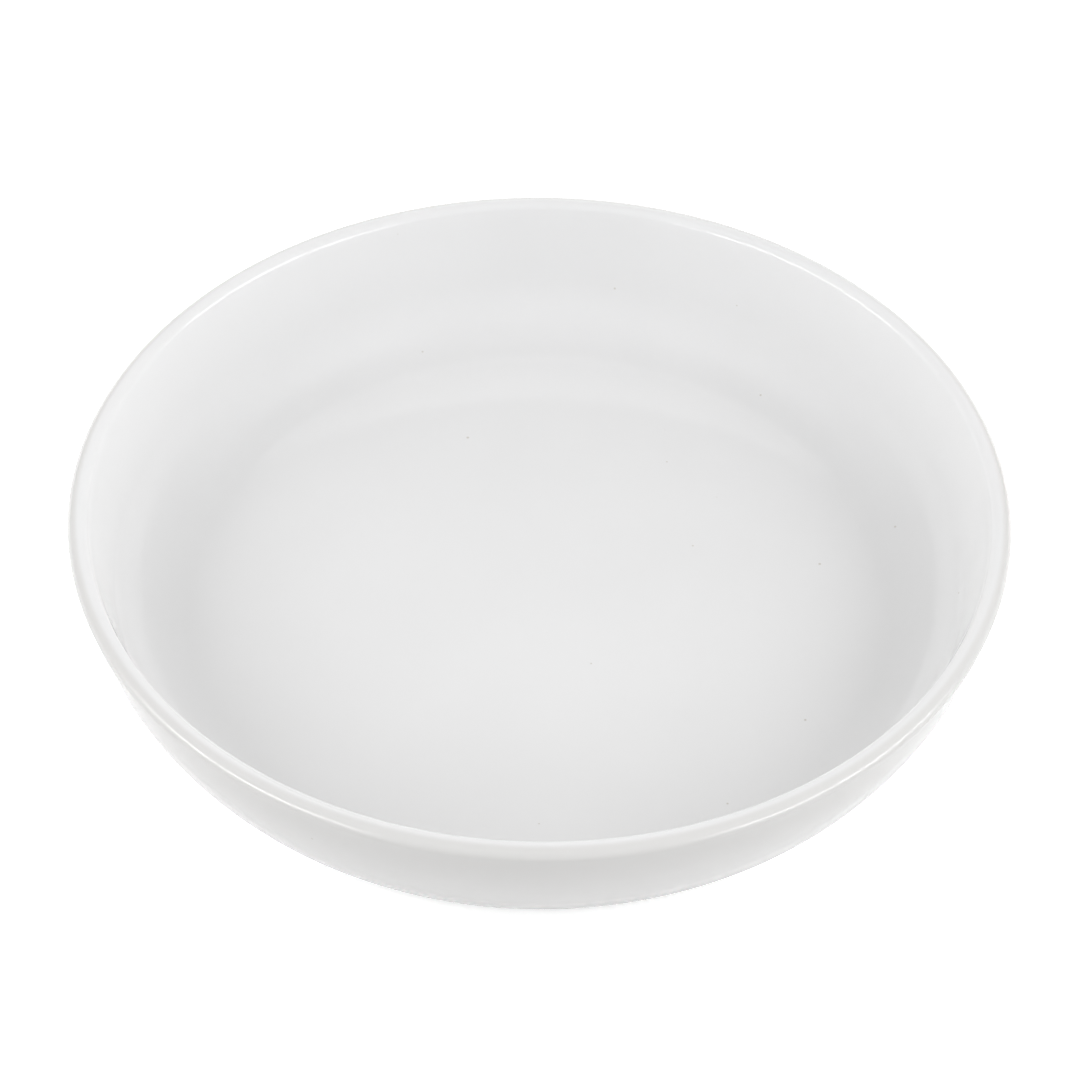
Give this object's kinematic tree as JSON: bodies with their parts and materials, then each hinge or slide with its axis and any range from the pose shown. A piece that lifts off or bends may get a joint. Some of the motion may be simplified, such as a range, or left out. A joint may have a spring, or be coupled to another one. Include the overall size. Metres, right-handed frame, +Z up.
{
  "type": "evaporating dish",
  "caption": "Shallow round porcelain evaporating dish with a full-round lip, a leaning wall, a flat floor and a low foot ring, without a spout.",
  "frame": {"origin": "centre of the foot ring's contact face, on the dish's axis", "axes": "+Z up along the dish's axis, out of its open side; X and Y lie in the contact face and are free, because the dish is round"},
  "size_m": [0.15, 0.15, 0.0274],
  "materials": {
    "glazed_porcelain": "glossy clear glaze on white porcelain, unglazed only on the foot ring's contact face"
  },
  "bodies": {
    "root": {"dish": "glazed_porcelain"}
  },
  "joints": []
}
